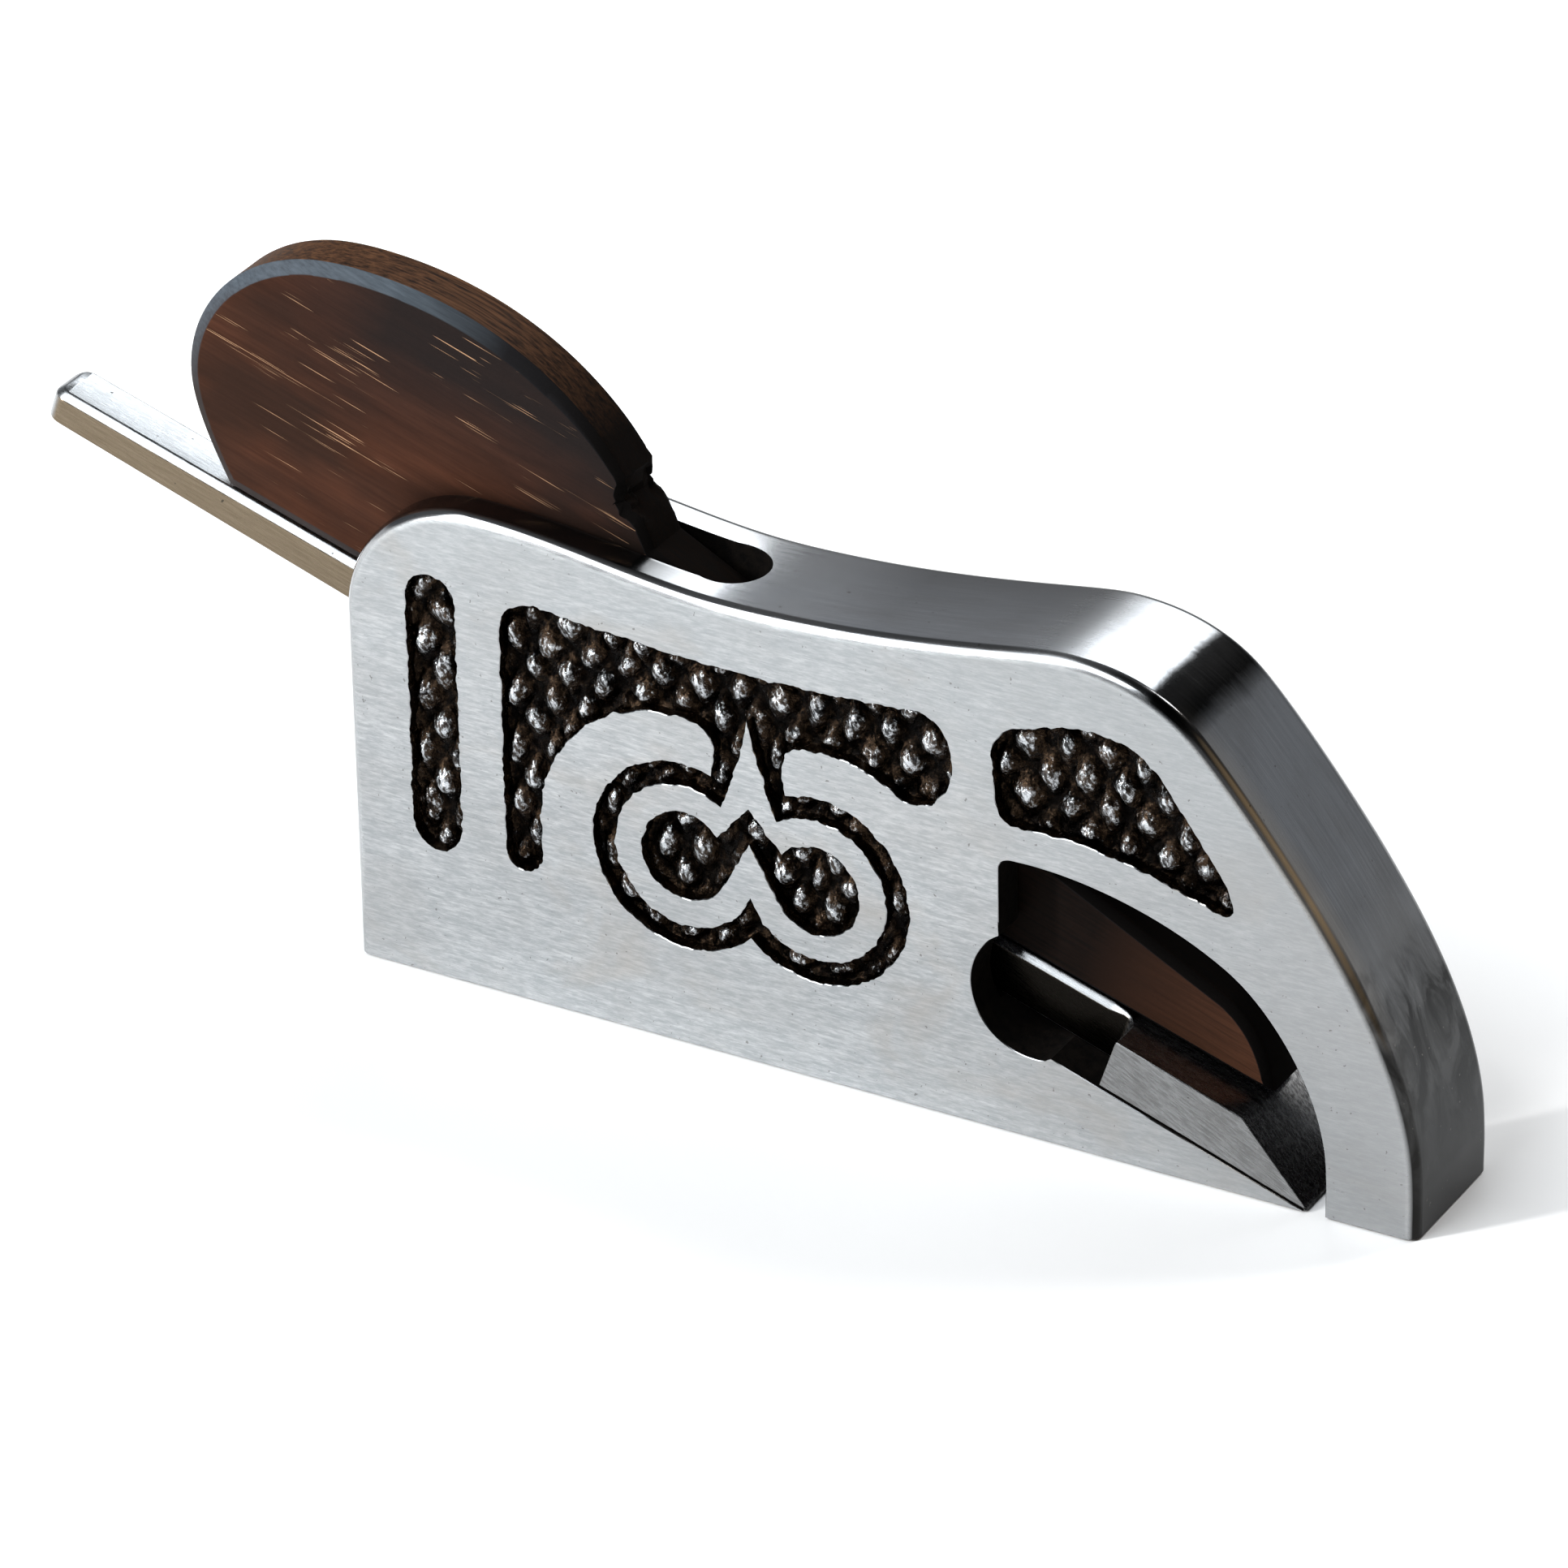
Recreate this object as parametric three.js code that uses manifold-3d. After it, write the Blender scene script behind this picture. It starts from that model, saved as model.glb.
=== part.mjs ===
// A small wedge-type shoulder plane: a one-piece iron body, a T-shaped tapered blade and a wooden wedge.
// Millimetres. +X points to the toe, -Y is the decorated side seen first, +Z is up.
// Profiles are drawn in the plane's side view: x runs from the heel to the toe, z up from the sole.
import * as THREE from 'three';
import { mergeVertices } from 'three/addons/utils/BufferGeometryUtils.js';
import Module from 'manifold-3d';

const wasm = await Module();
wasm.setup();

// Body
const bodyLength = 95;
const bodyWidth = 12.7;
const arris = 1.1;              // rounding of every edge of the sides except along the sole
const heelRadius = 11.3;
const crownHeight = 42.5;       // top of the heel's round
const overcut = 2;              // how far a cutting shape runs past the surface it opens

// Bed, mouth and mortise
const bedAngle = THREE.MathUtils.degToRad(18.9);
const bedFoot = 84.7;           // where the bed runs out through the sole
const mouthFront = 87.2;
const mortiseWidth = 6.2;
const slotFront = 35.2;         // front end of the slot in the top
const clearance = 0.3;          // between the bed, the blade, the wedge and the mortise roof

// Round hole at the blade's shoulder
const holeX = 61.9;
const holeZ = 12.7;
const holeRadius = 5.6;

// Blade
const bladeLength = 122.4;
const headLength = 19;
const headWidth = 12.5;
const headThickness = 4.6;
const tailThickness = 2.9;
const tangWidth = 5;
const tangChamfer = 0.6;
const shoulderFillet = 1.2;     // inside corner between the head and the tang
const tailCorner = 1.4;
const grindAngle = THREE.MathUtils.degToRad(31.7);
const edgeHeight = 0.05;        // of the cutting edge above the sole, at rest

// Wedge
const wedgeThickness = 5.3;
const wedgeChamfer = 0.7;
const wedgeHeel = [26.3, 41.2]; // upper edge of the wedge where it enters the body
const wedgeToe = [76.5, 14.4];  // upper edge where it starts to round off towards the tip
const wedgeTipX = 80.4;

// Sunk ornament on both sides
const sunkDepth = 1.5;
const ringX = [30.8, 42.6];     // centres of the two scroll rings
const ringZ = 17;
const channelRadius = 8.3;      // outer wall of the channel round a ring
const ringRadius = 6.3;
const eyeRadius = 3.9;
const armRadius = 12.5;         // upper edge of the arm above each ring
const armX = [30.2, 43.2];
const scrollAxis = (ringX[0] + ringX[1]) / 2;
const heelSlotX = 8.05;
const heelSlotRadius = 2.25;
const heelSlotZ = [13.85, 34.15]; // centres of its two round ends

const outlineSteps = 10;
const ornamentSteps = 10;

const steel = new THREE.MeshStandardMaterial({ color: 0xd2d4d6, roughness: 0.35, metalness: 0.9 });
const bladeSteel = new THREE.MeshStandardMaterial({ color: 0x9a9b9c, roughness: 0.3, metalness: 0.9 });
const rosewood = new THREE.MeshStandardMaterial({ color: 0x46291f, roughness: 0.45, metalness: 0 });

function degrees(angle) {
  return THREE.MathUtils.degToRad(angle);
}

// Height of the bed, of the blade's upper face and of the wedge's underside at a distance from the heel.
function bedAt(x) {
  return (bedFoot - x) * Math.tan(bedAngle);
}

const edgeX = bedFoot + (clearance / Math.cos(bedAngle) - edgeHeight) / Math.tan(bedAngle);
const taperAngle = Math.atan2(headThickness - tailThickness, bladeLength - headLength);
const shoulderTop = [
  edgeX - headLength * Math.cos(bedAngle) + headThickness * Math.sin(bedAngle),
  edgeHeight + headLength * Math.sin(bedAngle) + headThickness * Math.cos(bedAngle),
];

function wedgeUndersideAt(x) {
  const rise = (shoulderTop[0] - x) * Math.tan(bedAngle - taperAngle);
  return shoulderTop[1] + rise + clearance / Math.cos(bedAngle);
}

function mortiseRoofAt(x) {
  const slope = (wedgeHeel[1] - wedgeToe[1]) / (wedgeToe[0] - wedgeHeel[0]);
  return wedgeHeel[1] + clearance - (x - wedgeHeel[0]) * slope;
}

// A closed geometry as a solid that can be cut and joined.
function solid(geometry) {
  const bare = geometry.clone();
  bare.deleteAttribute('normal');
  bare.deleteAttribute('uv');
  const welded = mergeVertices(bare, 1e-4);
  return new wasm.Manifold(new wasm.Mesh({
    numProp: 3,
    vertProperties: new Float32Array(welded.attributes.position.array),
    triVerts: new Uint32Array(welded.index.array),
  }));
}

function meshOf(cutSolid, name, material) {
  const data = cutSolid.getMesh();
  const geometry = new THREE.BufferGeometry();
  geometry.setAttribute('position', new THREE.BufferAttribute(new Float32Array(data.vertProperties), 3));
  geometry.setIndex(new THREE.BufferAttribute(new Uint32Array(data.triVerts), 1));
  geometry.computeVertexNormals();
  const mesh = new THREE.Mesh(geometry, material);
  mesh.name = name;
  return mesh;
}

// A side-view shape stretched across the plane, its middle at y.
function across(shape, width, y = 0, bevel = 0, bevelSegments = 2, curveSegments = outlineSteps) {
  const geometry = new THREE.ExtrudeGeometry(shape, {
    depth: width - 2 * bevel,
    bevelEnabled: bevel > 0,
    bevelThickness: bevel,
    bevelSize: bevel,
    bevelOffset: -bevel,
    bevelSegments,
    curveSegments,
  });
  geometry.translate(0, 0, bevel - width / 2);
  geometry.rotateX(Math.PI / 2);
  geometry.translate(0, y, 0);
  return solid(geometry);
}

function shapeThrough(points) {
  return new THREE.Shape(points.map(([x, z]) => new THREE.Vector2(x, z)));
}

// Heel, hollow top, hump and nose. The outline runs below the sole, so that the sole's edges stay crisp.
function bodyOutline() {
  const outline = new THREE.Shape();
  outline.moveTo(0, -overcut);
  outline.lineTo(bodyLength, -overcut);
  outline.lineTo(bodyLength, 4);
  outline.bezierCurveTo(bodyLength, 13, 89.5, 21.6, 85.5, 27.3);
  outline.bezierCurveTo(82.9, 30.9, 78.6, 36.4, 75.7, 39.2);
  outline.bezierCurveTo(73.2, 41.6, 69.5, 43.2, 64.5, 43.2);
  outline.bezierCurveTo(60.5, 43.2, 50, 40.3, 35, 40.3);
  outline.bezierCurveTo(27, 40.3, 20, crownHeight, heelRadius, crownHeight);
  outline.absarc(heelRadius, crownHeight - heelRadius, heelRadius, Math.PI / 2, Math.PI, false);
  outline.closePath();
  return outline;
}

// The opening in both cheeks above the blade's head, down through the mouth.
function throatOutline() {
  const outline = new THREE.Shape();
  outline.moveTo(bedFoot, -overcut);
  outline.lineTo(mouthFront, -overcut);
  outline.lineTo(mouthFront, 3.5);
  outline.bezierCurveTo(mouthFront, 10.5, 82.4, 17.1, 78.8, 19.4);
  outline.bezierCurveTo(73.5, 22.8, 66, 24.6, 60, 24.3);
  outline.quadraticCurveTo(58.8, 24.2, 58.8, 23.2);
  outline.lineTo(58.8, holeZ);
  outline.lineTo(63, bedAt(63));
  outline.lineTo(bedFoot, 0);
  outline.closePath();
  return outline;
}

// The blade's bed and the room for the wedge, open at the heel and along the top as far as slotFront.
function mortise() {
  const slotEnd = slotFront - mortiseWidth / 2;
  const front = holeX + holeRadius;
  const passage = across(shapeThrough([
    [-overcut, bedAt(-overcut)],
    [front, bedAt(front)],
    [front, mortiseRoofAt(front)],
    [slotEnd, mortiseRoofAt(slotEnd)],
    [slotEnd, crownHeight + overcut],
    [-overcut, crownHeight + overcut],
  ]), mortiseWidth);
  const roundEnd = new THREE.CylinderGeometry(mortiseWidth / 2, mortiseWidth / 2, crownHeight, 24);
  roundEnd.rotateX(Math.PI / 2);
  roundEnd.translate(slotEnd, 0, mortiseRoofAt(slotFront) + crownHeight / 2);
  return passage.add(solid(roundEnd));
}

function shoulderHole() {
  const geometry = new THREE.CylinderGeometry(holeRadius, holeRadius, bodyWidth + overcut, 40);
  geometry.translate(holeX, 0, holeZ);
  return solid(geometry);
}

function onCircle(x, radius, angle) {
  return [x + radius * Math.cos(degrees(angle)), ringZ + radius * Math.sin(degrees(angle))];
}

// Upright slot with round ends near the heel.
function heelSlot() {
  const shape = new THREE.Shape();
  shape.moveTo(heelSlotX - heelSlotRadius, heelSlotZ[0]);
  shape.lineTo(heelSlotX - heelSlotRadius, heelSlotZ[1]);
  shape.absarc(heelSlotX, heelSlotZ[1], heelSlotRadius, Math.PI, 0, true);
  shape.lineTo(heelSlotX + heelSlotRadius, heelSlotZ[0]);
  shape.absarc(heelSlotX, heelSlotZ[0], heelSlotRadius, 0, -Math.PI, true);
  return shape;
}

// Band along the top with a leg down at the heel end, and the channels round both rings.
function bandAndChannels() {
  const shape = new THREE.Shape();
  const [left, right] = ringX;
  shape.moveTo(14.4, 13.4);
  shape.lineTo(14.4, 32.6);
  shape.bezierCurveTo(14.4, 35, 15.6, 36, 18, 36);
  shape.quadraticCurveTo(36, 33.8, 51.6, 35.4);
  shape.bezierCurveTo(55, 35.6, 55.9, 29.9, 53.2, 27.7);
  shape.quadraticCurveTo(52.2, 26.9, ...onCircle(armX[1], armRadius, 54));
  shape.absarc(armX[1], ringZ, armRadius, degrees(54), degrees(97), false);
  shape.quadraticCurveTo(38.9, 29, ...onCircle(right, channelRadius, 108));
  shape.absarc(right, ringZ, channelRadius, degrees(108), degrees(-135.3), true);
  shape.absarc(left, ringZ, channelRadius, degrees(-44.7), degrees(-288), true);
  shape.quadraticCurveTo(34.5, 29, ...onCircle(armX[0], armRadius, 83));
  shape.absarc(armX[0], ringZ, armRadius, degrees(83), degrees(180), false);
  shape.lineTo(17.7, 13.4);
  shape.absarc(16.05, 13.4, 1.65, 0, -Math.PI, true);
  return shape;
}

// The two rings and the spike between them, left standing.
function ringsAndSpike() {
  const shape = new THREE.Shape();
  const [left, right] = ringX;
  shape.moveTo(scrollAxis, 30.6);
  shape.quadraticCurveTo(37.7, 26, ...onCircle(right, ringRadius, 122.7));
  shape.absarc(right, ringZ, ringRadius, degrees(122.7), degrees(-159.5), true);
  shape.absarc(left, ringZ, ringRadius, degrees(-20.5), degrees(-302.7), true);
  shape.quadraticCurveTo(35.7, 26, scrollAxis, 30.6);
  return shape;
}

// The two eyes inside the rings, joined by a chevron.
function eyesAndChevron() {
  const shape = new THREE.Shape();
  const [left, right] = ringX;
  shape.moveTo(scrollAxis, 22.8);
  shape.lineTo(...onCircle(right, eyeRadius, 140));
  shape.absarc(right, ringZ, eyeRadius, degrees(140), degrees(-160), true);
  shape.lineTo(scrollAxis, 19.6);
  shape.lineTo(...onCircle(left, eyeRadius, -20));
  shape.absarc(left, ringZ, eyeRadius, degrees(-20), degrees(-320), true);
  shape.closePath();
  return shape;
}

// Pointed leaf above the throat.
function noseLeaf() {
  const shape = new THREE.Shape();
  shape.moveTo(60.6, 27.4);
  shape.bezierCurveTo(67, 27.8, 72.4, 26.4, 77.4, 24.5);
  shape.quadraticCurveTo(79.8, 23.9, 78.8, 26.4);
  shape.quadraticCurveTo(76, 30.8, 73.4, 34.2);
  shape.bezierCurveTo(70.4, 38.4, 66.4, 37.9, 60.4, 36);
  shape.quadraticCurveTo(58.3, 35.2, 58.3, 33.2);
  shape.lineTo(58.6, 29.4);
  shape.quadraticCurveTo(58.8, 27.4, 60.6, 27.4);
  return shape;
}

function ornament(side) {
  const y = side * (bodyWidth - sunkDepth + overcut) / 2;
  const cut = (shape) => across(shape, sunkDepth + overcut, y, 0, 0, ornamentSteps);
  return cut(bandAndChannels())
    .subtract(cut(ringsAndSpike()))
    .add(cut(eyesAndChevron()))
    .add(cut(heelSlot()))
    .add(cut(noseLeaf()));
}

function body() {
  const blank = across(bodyOutline(), bodyWidth, 0, arris);
  const above = new THREE.BoxGeometry(2 * bodyLength, 2 * bodyWidth, 2 * crownHeight);
  above.translate(bodyLength / 2, 0, crownHeight);
  const cutBody = blank
    .intersect(solid(above))
    .subtract(across(throatOutline(), bodyWidth + overcut))
    .subtract(shoulderHole())
    .subtract(mortise())
    .subtract(ornament(-1))
    .subtract(ornament(1));
  return meshOf(cutBody, 'body', steel);
}

// T-shaped outline of the blade seen from above, from the cutting edge at x = 0 to the tail.
function bladePlan() {
  const plan = new THREE.Shape();
  const half = tangWidth / 2;
  const shoulder = half + shoulderFillet;
  plan.moveTo(0, -headWidth / 2);
  plan.lineTo(0, headWidth / 2);
  plan.lineTo(headLength, headWidth / 2);
  plan.lineTo(headLength, shoulder);
  plan.quadraticCurveTo(headLength, half, headLength + shoulderFillet, half);
  plan.lineTo(bladeLength - tailCorner, half);
  plan.quadraticCurveTo(bladeLength, half, bladeLength, half - tailCorner);
  plan.lineTo(bladeLength, tailCorner - half);
  plan.quadraticCurveTo(bladeLength, -half, bladeLength - tailCorner, -half);
  plan.lineTo(headLength + shoulderFillet, -half);
  plan.quadraticCurveTo(headLength, -half, headLength, -shoulder);
  plan.lineTo(headLength, -headWidth / 2);
  plan.closePath();
  return plan;
}

function thicknessAt(x) {
  return headThickness - (x - headLength) * Math.tan(taperAngle);
}

// Drawn in its own frame: x from the cutting edge up the bed, z through the thickness.
function blade() {
  const slab = new THREE.ExtrudeGeometry(bladePlan(), {
    depth: headThickness + overcut,
    bevelEnabled: false,
    curveSegments: 4,
  });
  slab.translate(0, 0, -overcut / 2);
  const neck = headLength + shoulderFillet;
  const head = across(shapeThrough([
    [0, 0],
    [neck, 0],
    [neck, thicknessAt(neck)],
    [headLength, headThickness],
    [headThickness / Math.tan(grindAngle), headThickness],
  ]), headWidth);
  const tang = across(shapeThrough([
    [headLength - overcut, 0],
    [bladeLength, 0],
    [bladeLength, tailThickness],
    [headLength - overcut, thicknessAt(headLength - overcut)],
  ]), tangWidth, 0, tangChamfer, 1);
  const mesh = meshOf(head.add(tang).intersect(solid(slab)), 'blade', bladeSteel);
  mesh.position.set(edgeX, 0, edgeHeight);
  mesh.rotation.set(0, bedAngle, Math.PI);
  return mesh;
}

function wedge() {
  const outline = new THREE.Shape();
  const seat = -13;
  outline.moveTo(wedgeTipX, wedgeUndersideAt(wedgeTipX));
  outline.lineTo(wedgeTipX, wedgeUndersideAt(wedgeTipX) + 1.2);
  outline.bezierCurveTo(79.9, 10.4, 79, 12.8, ...wedgeToe);
  outline.lineTo(...wedgeHeel);
  outline.lineTo(24.9, 43.9);
  outline.lineTo(23.7, 44.8);
  outline.lineTo(23.9, 46.9);
  outline.bezierCurveTo(18.5, 55.2, 9, 59.5, -1.8, 59.5);
  outline.bezierCurveTo(-10.4, 59.5, -16.2, 53.3, -16.2, 46.9);
  outline.bezierCurveTo(-16.2, 44, -14.6, 40.6, seat, wedgeUndersideAt(seat));
  outline.closePath();
  return meshOf(across(outline, wedgeThickness, 0, wedgeChamfer, 1), 'wedge', rosewood);
}

const group = new THREE.Group();
group.add(body(), blade(), wedge());
group.position.x = -bodyLength / 2;
export default group;
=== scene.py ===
"""Small wedge-type shoulder plane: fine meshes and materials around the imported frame.

Lengths are in millimetres while a mesh is built and cut, and metres in the finished objects.
Outlines come from the frame's own flat faces and are made smooth; x runs along the sole, z up, y across.
"""

import math
import random

import bmesh
import bpy
import numpy as np
from mathutils import Matrix, Vector, kdtree, noise
from mathutils.geometry import delaunay_2d_cdt


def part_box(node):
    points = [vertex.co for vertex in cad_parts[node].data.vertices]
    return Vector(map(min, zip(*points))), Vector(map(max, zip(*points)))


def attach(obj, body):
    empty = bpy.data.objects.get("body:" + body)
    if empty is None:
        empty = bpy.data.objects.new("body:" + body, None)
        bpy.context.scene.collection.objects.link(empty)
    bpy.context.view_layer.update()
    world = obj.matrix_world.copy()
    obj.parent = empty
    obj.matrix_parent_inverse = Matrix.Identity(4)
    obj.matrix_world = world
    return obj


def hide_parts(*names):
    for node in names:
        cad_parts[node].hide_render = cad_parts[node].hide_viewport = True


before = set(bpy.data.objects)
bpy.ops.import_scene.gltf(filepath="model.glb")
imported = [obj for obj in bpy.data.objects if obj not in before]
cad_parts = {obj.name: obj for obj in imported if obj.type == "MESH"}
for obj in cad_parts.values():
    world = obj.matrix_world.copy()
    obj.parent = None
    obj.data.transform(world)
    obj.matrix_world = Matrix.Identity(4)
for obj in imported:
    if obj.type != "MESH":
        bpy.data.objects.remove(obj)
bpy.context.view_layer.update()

MM = 0.001

# Body
body_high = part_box("body")[1]
HALF_WIDTH = body_high.y / MM
TOE_X = body_high.x / MM
ARRIS = 1.1                 # radius of the rounded edge between the sides and the top
ARRIS_STEPS = 7
RIM = 0.06                  # polished chamfer on the edges of cuts in the sides
OVERCUT = 0.05              # how far a cutter stands out of the face that it cuts
SUNK_DEPTH = 1.5            # of the ornament's ground below the side
CAST_WAVE = 0.15            # waviness of the ornament's edges
CAST_SEED = 11
CAST_STEP = 0.28

# Mortise and slot, in the frame's x and z
MORTISE_WIDTH = 6.2
MORTISE_FRONT = 20.0
BEHIND_HEEL = -49.5
ABOVE_TOP = 46
BELOW_SOLE = -2
BED = math.radians(18.9)
BED_SLOPE = math.tan(BED)
BED_FOOT = 37.2             # where the bed runs out through the sole
BED_GAP = 0.3               # working gap under the blade
BED_RISE = 0.2              # closes most of that gap
ROOF_START = (-21.2, 41.5)
ROOF_END = (29.0, 14.7)
SLOT_FRONT = -12.3
SLOT_ROUND_STEPS = 48
SLOT_ROUND_DEPTH = 6
SLOT_FLARE = (40.25, 42.0, 1.75)    # from one height to another, and how much it widens

CURVE_STEP = 0.45
CORNER_TURN = math.radians(26)
LONG_RUN = 2.5              # beside a run this much shorter, a straight run keeps its line
SHARPEST_MITRE = 0.6        # cosine of half the turn beyond which mitres stop growing
ON_PLANE = 0.002
SHORTEST_EDGE = 0.05

# Turns of the noise patterns about y
DARK_REFLECTION_TURN = math.radians(35)
MARKS_TURN = math.radians(-27)
GLINT_STREAKS_TURN = math.radians(20)

# Bump distances, in metres
GRAIN_DEPTH = 0.00001
WOOD_DEPTH = 0.00004
CASTING_DEPTH = 0.0002
ENAMEL_DEPTH = 0.0003


# ---------------------------------------------------------------- outlines

def planar_loops(node, y):
    """Closed outlines, as lists of (x, z), of the frame faces that lie at one y."""
    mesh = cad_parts[node].data
    key = lambda v: (round(v.co.x / MM, 3), round(v.co.z / MM, 3))
    counts = {}
    for face in mesh.polygons:
        corners = [mesh.vertices[i] for i in face.vertices]
        if all(abs(v.co.y / MM - y) < ON_PLANE for v in corners):
            keys = [key(v) for v in corners]
            for a, b in zip(keys, keys[1:] + keys[:1]):
                if a != b:
                    counts[(a, b)] = counts.get((a, b), 0) + 1
    follow = {a: b for (a, b) in counts if (b, a) not in counts}
    loops = []
    while follow:
        start = next(iter(follow))
        loop = [start]
        here = follow.pop(start)
        while here != start:
            loop.append(here)
            here = follow.pop(here)
        points = [Vector(p) for p in loop]
        loops.append([p for i, p in enumerate(points) if (p - points[i - 1]).length > SHORTEST_EDGE])
    return sorted(loops, key=lambda l: -abs(area(l)))


def area(loop):
    """Signed: positive when the outline runs counter-clockwise."""
    return sum(a.x * b.y - b.x * a.y for a, b in zip(loop, loop[1:] + loop[:1])) / 2


def turn(a, b, c):
    """The angle between two edges that meet at b."""
    u, v = b - a, c - b
    if u.length < 1e-6 or v.length < 1e-6:
        return 0.0
    return abs(u.angle(v))


def tangent(before, here, after):
    """Direction of a smooth curve at a point; a long straight run beside a short one keeps its line."""
    u, v = here - before, after - here
    if u.length > LONG_RUN * v.length:
        return u.normalized()
    if v.length > LONG_RUN * u.length:
        return v.normalized()
    return (u.normalized() * v.length + v.normalized() * u.length).normalized()


def smooth(points, closed=True, step=CURVE_STEP):
    """The same outline with its curves filled in and its corners kept sharp."""
    count = len(points)
    get = lambda i: points[i % count] if closed else points[max(0, min(count - 1, i))]
    ends = [] if closed else [0, count - 1]
    sharp = [i in ends or turn(get(i - 1), get(i), get(i + 1)) > CORNER_TURN for i in range(count)]
    result = []
    for i in range(count if closed else count - 1):
        a, b = get(i), get(i + 1)
        chord = b - a
        start = chord.normalized() if sharp[i] else tangent(get(i - 1), a, b)
        end = chord.normalized() if sharp[(i + 1) % count] else tangent(a, b, get(i + 2))
        pieces = max(1, round(chord.length / step))
        for k in range(pieces):
            t = k / pieces
            h1, h2 = 2 * t**3 - 3 * t**2 + 1, t**3 - 2 * t**2 + t
            h3, h4 = -2 * t**3 + 3 * t**2, t**3 - t**2
            result.append(a * h1 + start * chord.length * h2 + b * h3 + end * chord.length * h4)
    if not closed:
        result.append(points[-1])
    return result


def normals(points, closed=True):
    """Vectors to the right of an outline's direction, longer at corners so that edges move by 1."""
    count = len(points)
    result = []
    for i in range(count):
        if closed:
            before, after = points[i - 1], points[(i + 1) % count]
        else:
            before, after = points[max(0, i - 1)], points[min(count - 1, i + 1)]
        u, v = points[i] - before, after - points[i]
        u, v = (u or v).normalized(), (v or u).normalized()
        middle = (u + v).normalized()
        result.append(Vector((middle.y, -middle.x)) / max(SHARPEST_MITRE, middle.dot(u)))
    return result


def calm_near_corners(points, reach=1.0):
    """For each point of an outline, 0 at a sharp corner rising to 1 at a distance from every corner."""
    count = len(points)
    corners = [p for i, p in enumerate(points)
               if turn(points[i - 1], p, points[(i + 1) % count]) > CORNER_TURN]
    return [min([1.0] + [(p - c).length / reach for c in corners]) for p in points]


def offset(points, distance, weights=None):
    """Grows an outline (positive) or shrinks it (negative), whichever way it runs."""
    side = 1 if area(points) > 0 else -1
    weights = weights or [1.0] * len(points)
    return [p + n * distance * side * w for p, n, w in zip(points, normals(points), weights)]


def inside_all(points, loops):
    """For each point, whether it lies between the outlines, by counting crossings."""
    x = np.array([p.x for p in points])
    y = np.array([p.y for p in points])
    crossings = np.zeros(len(points), int)
    for loop in loops:
        for a, b in zip(loop, loop[1:] + loop[:1]):
            if a.y != b.y:
                crossing = ((a.y > y) != (b.y > y)) & (x < a.x + (y - a.y) / (b.y - a.y) * (b.x - a.x))
                crossings += crossing
    return crossings % 2 == 1


# ---------------------------------------------------------------- mesh tools

def triangulate(loops, extra=()):
    """Flat triangles of the area between outlines, which must not cross: (points, triangles)."""
    points, edges = [], []
    for loop in loops:
        first = len(points)
        points += loop
        edges += [(first + i, first + (i + 1) % len(loop)) for i in range(len(loop))]
    points += list(extra)
    found = delaunay_2d_cdt(points, edges, [], 0, 1e-5)
    flat, triangles = found[0], found[2]
    if len(flat) != len(points):
        raise ValueError("outlines cross or touch")
    centres = [(flat[a] + flat[b] + flat[c]) / 3 for a, b, c in triangles]
    return flat, [tri for tri, hit in zip(triangles, inside_all(centres, loops)) if hit]


def prism(loops, levels, weights=None):
    """A closed solid between outlines: (verts, faces).

    levels holds (y, growth of the outer loop) from one cap to the other; inner loops shrink as much.
    """
    verts, faces = [], []
    cap = triangulate(loops)[1] if len(loops) > 1 else [tuple(range(len(loops[0])))]
    weights = weights or [None] * len(loops)
    for y, growth in levels:
        for k, loop in enumerate(loops):
            verts += [(p.x, y, p.y) for p in offset(loop, growth if k == 0 else -growth, weights[k])]
    row = len(verts) // len(levels)
    for level in range(len(levels) - 1):
        start = level * row
        for loop in loops:
            n = len(loop)
            for i in range(n):
                a, b = start + i, start + (i + 1) % n
                faces.append((a, b, b + row, a + row))
            start += n
    last = (len(levels) - 1) * row
    faces += cap + [tuple(last + i for i in face) for face in cap]
    return verts, faces


def new_object(name, verts, faces, materials=(), unit=MM):
    """An object from vertices in millimetres; unit=1 keeps it in millimetres for cutting."""
    mesh = bpy.data.meshes.new(name)
    mesh.from_pydata([Vector(v) * unit for v in verts], [], faces)
    bm = bmesh.new()
    bm.from_mesh(mesh)
    bmesh.ops.remove_doubles(bm, verts=bm.verts, dist=1e-5 * unit)
    bmesh.ops.recalc_face_normals(bm, faces=bm.faces)
    bm.to_mesh(mesh)
    bm.free()
    obj = bpy.data.objects.new(name, mesh)
    bpy.context.scene.collection.objects.link(obj)
    for material in materials:
        mesh.materials.append(material)
    return obj


def apply_modifiers(obj):
    """Replaces an object's mesh by what its modifiers make of it."""
    graph = bpy.context.evaluated_depsgraph_get()
    graph.update()
    mesh = bpy.data.meshes.new_from_object(obj.evaluated_get(graph))
    old = obj.data
    obj.modifiers.clear()
    obj.data = mesh
    bpy.data.meshes.remove(old)


def close_gaps(mesh):
    """Fills the pinholes that a cut leaves where edges nearly coincide."""
    bm = bmesh.new()
    bm.from_mesh(mesh)
    bmesh.ops.holes_fill(bm, edges=[edge for edge in bm.edges if edge.is_boundary], sides=0)
    bm.to_mesh(mesh)
    bm.free()


def cut(obj, cutter):
    """Cuts one object by another and removes the cutter."""
    modifier = obj.modifiers.new("cut", "BOOLEAN")
    modifier.operation = "DIFFERENCE"
    modifier.solver = "EXACT"
    modifier.object = cutter
    modifier.material_mode = "TRANSFER"
    apply_modifiers(obj)
    close_gaps(obj.data)
    bpy.data.objects.remove(cutter)


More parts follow.
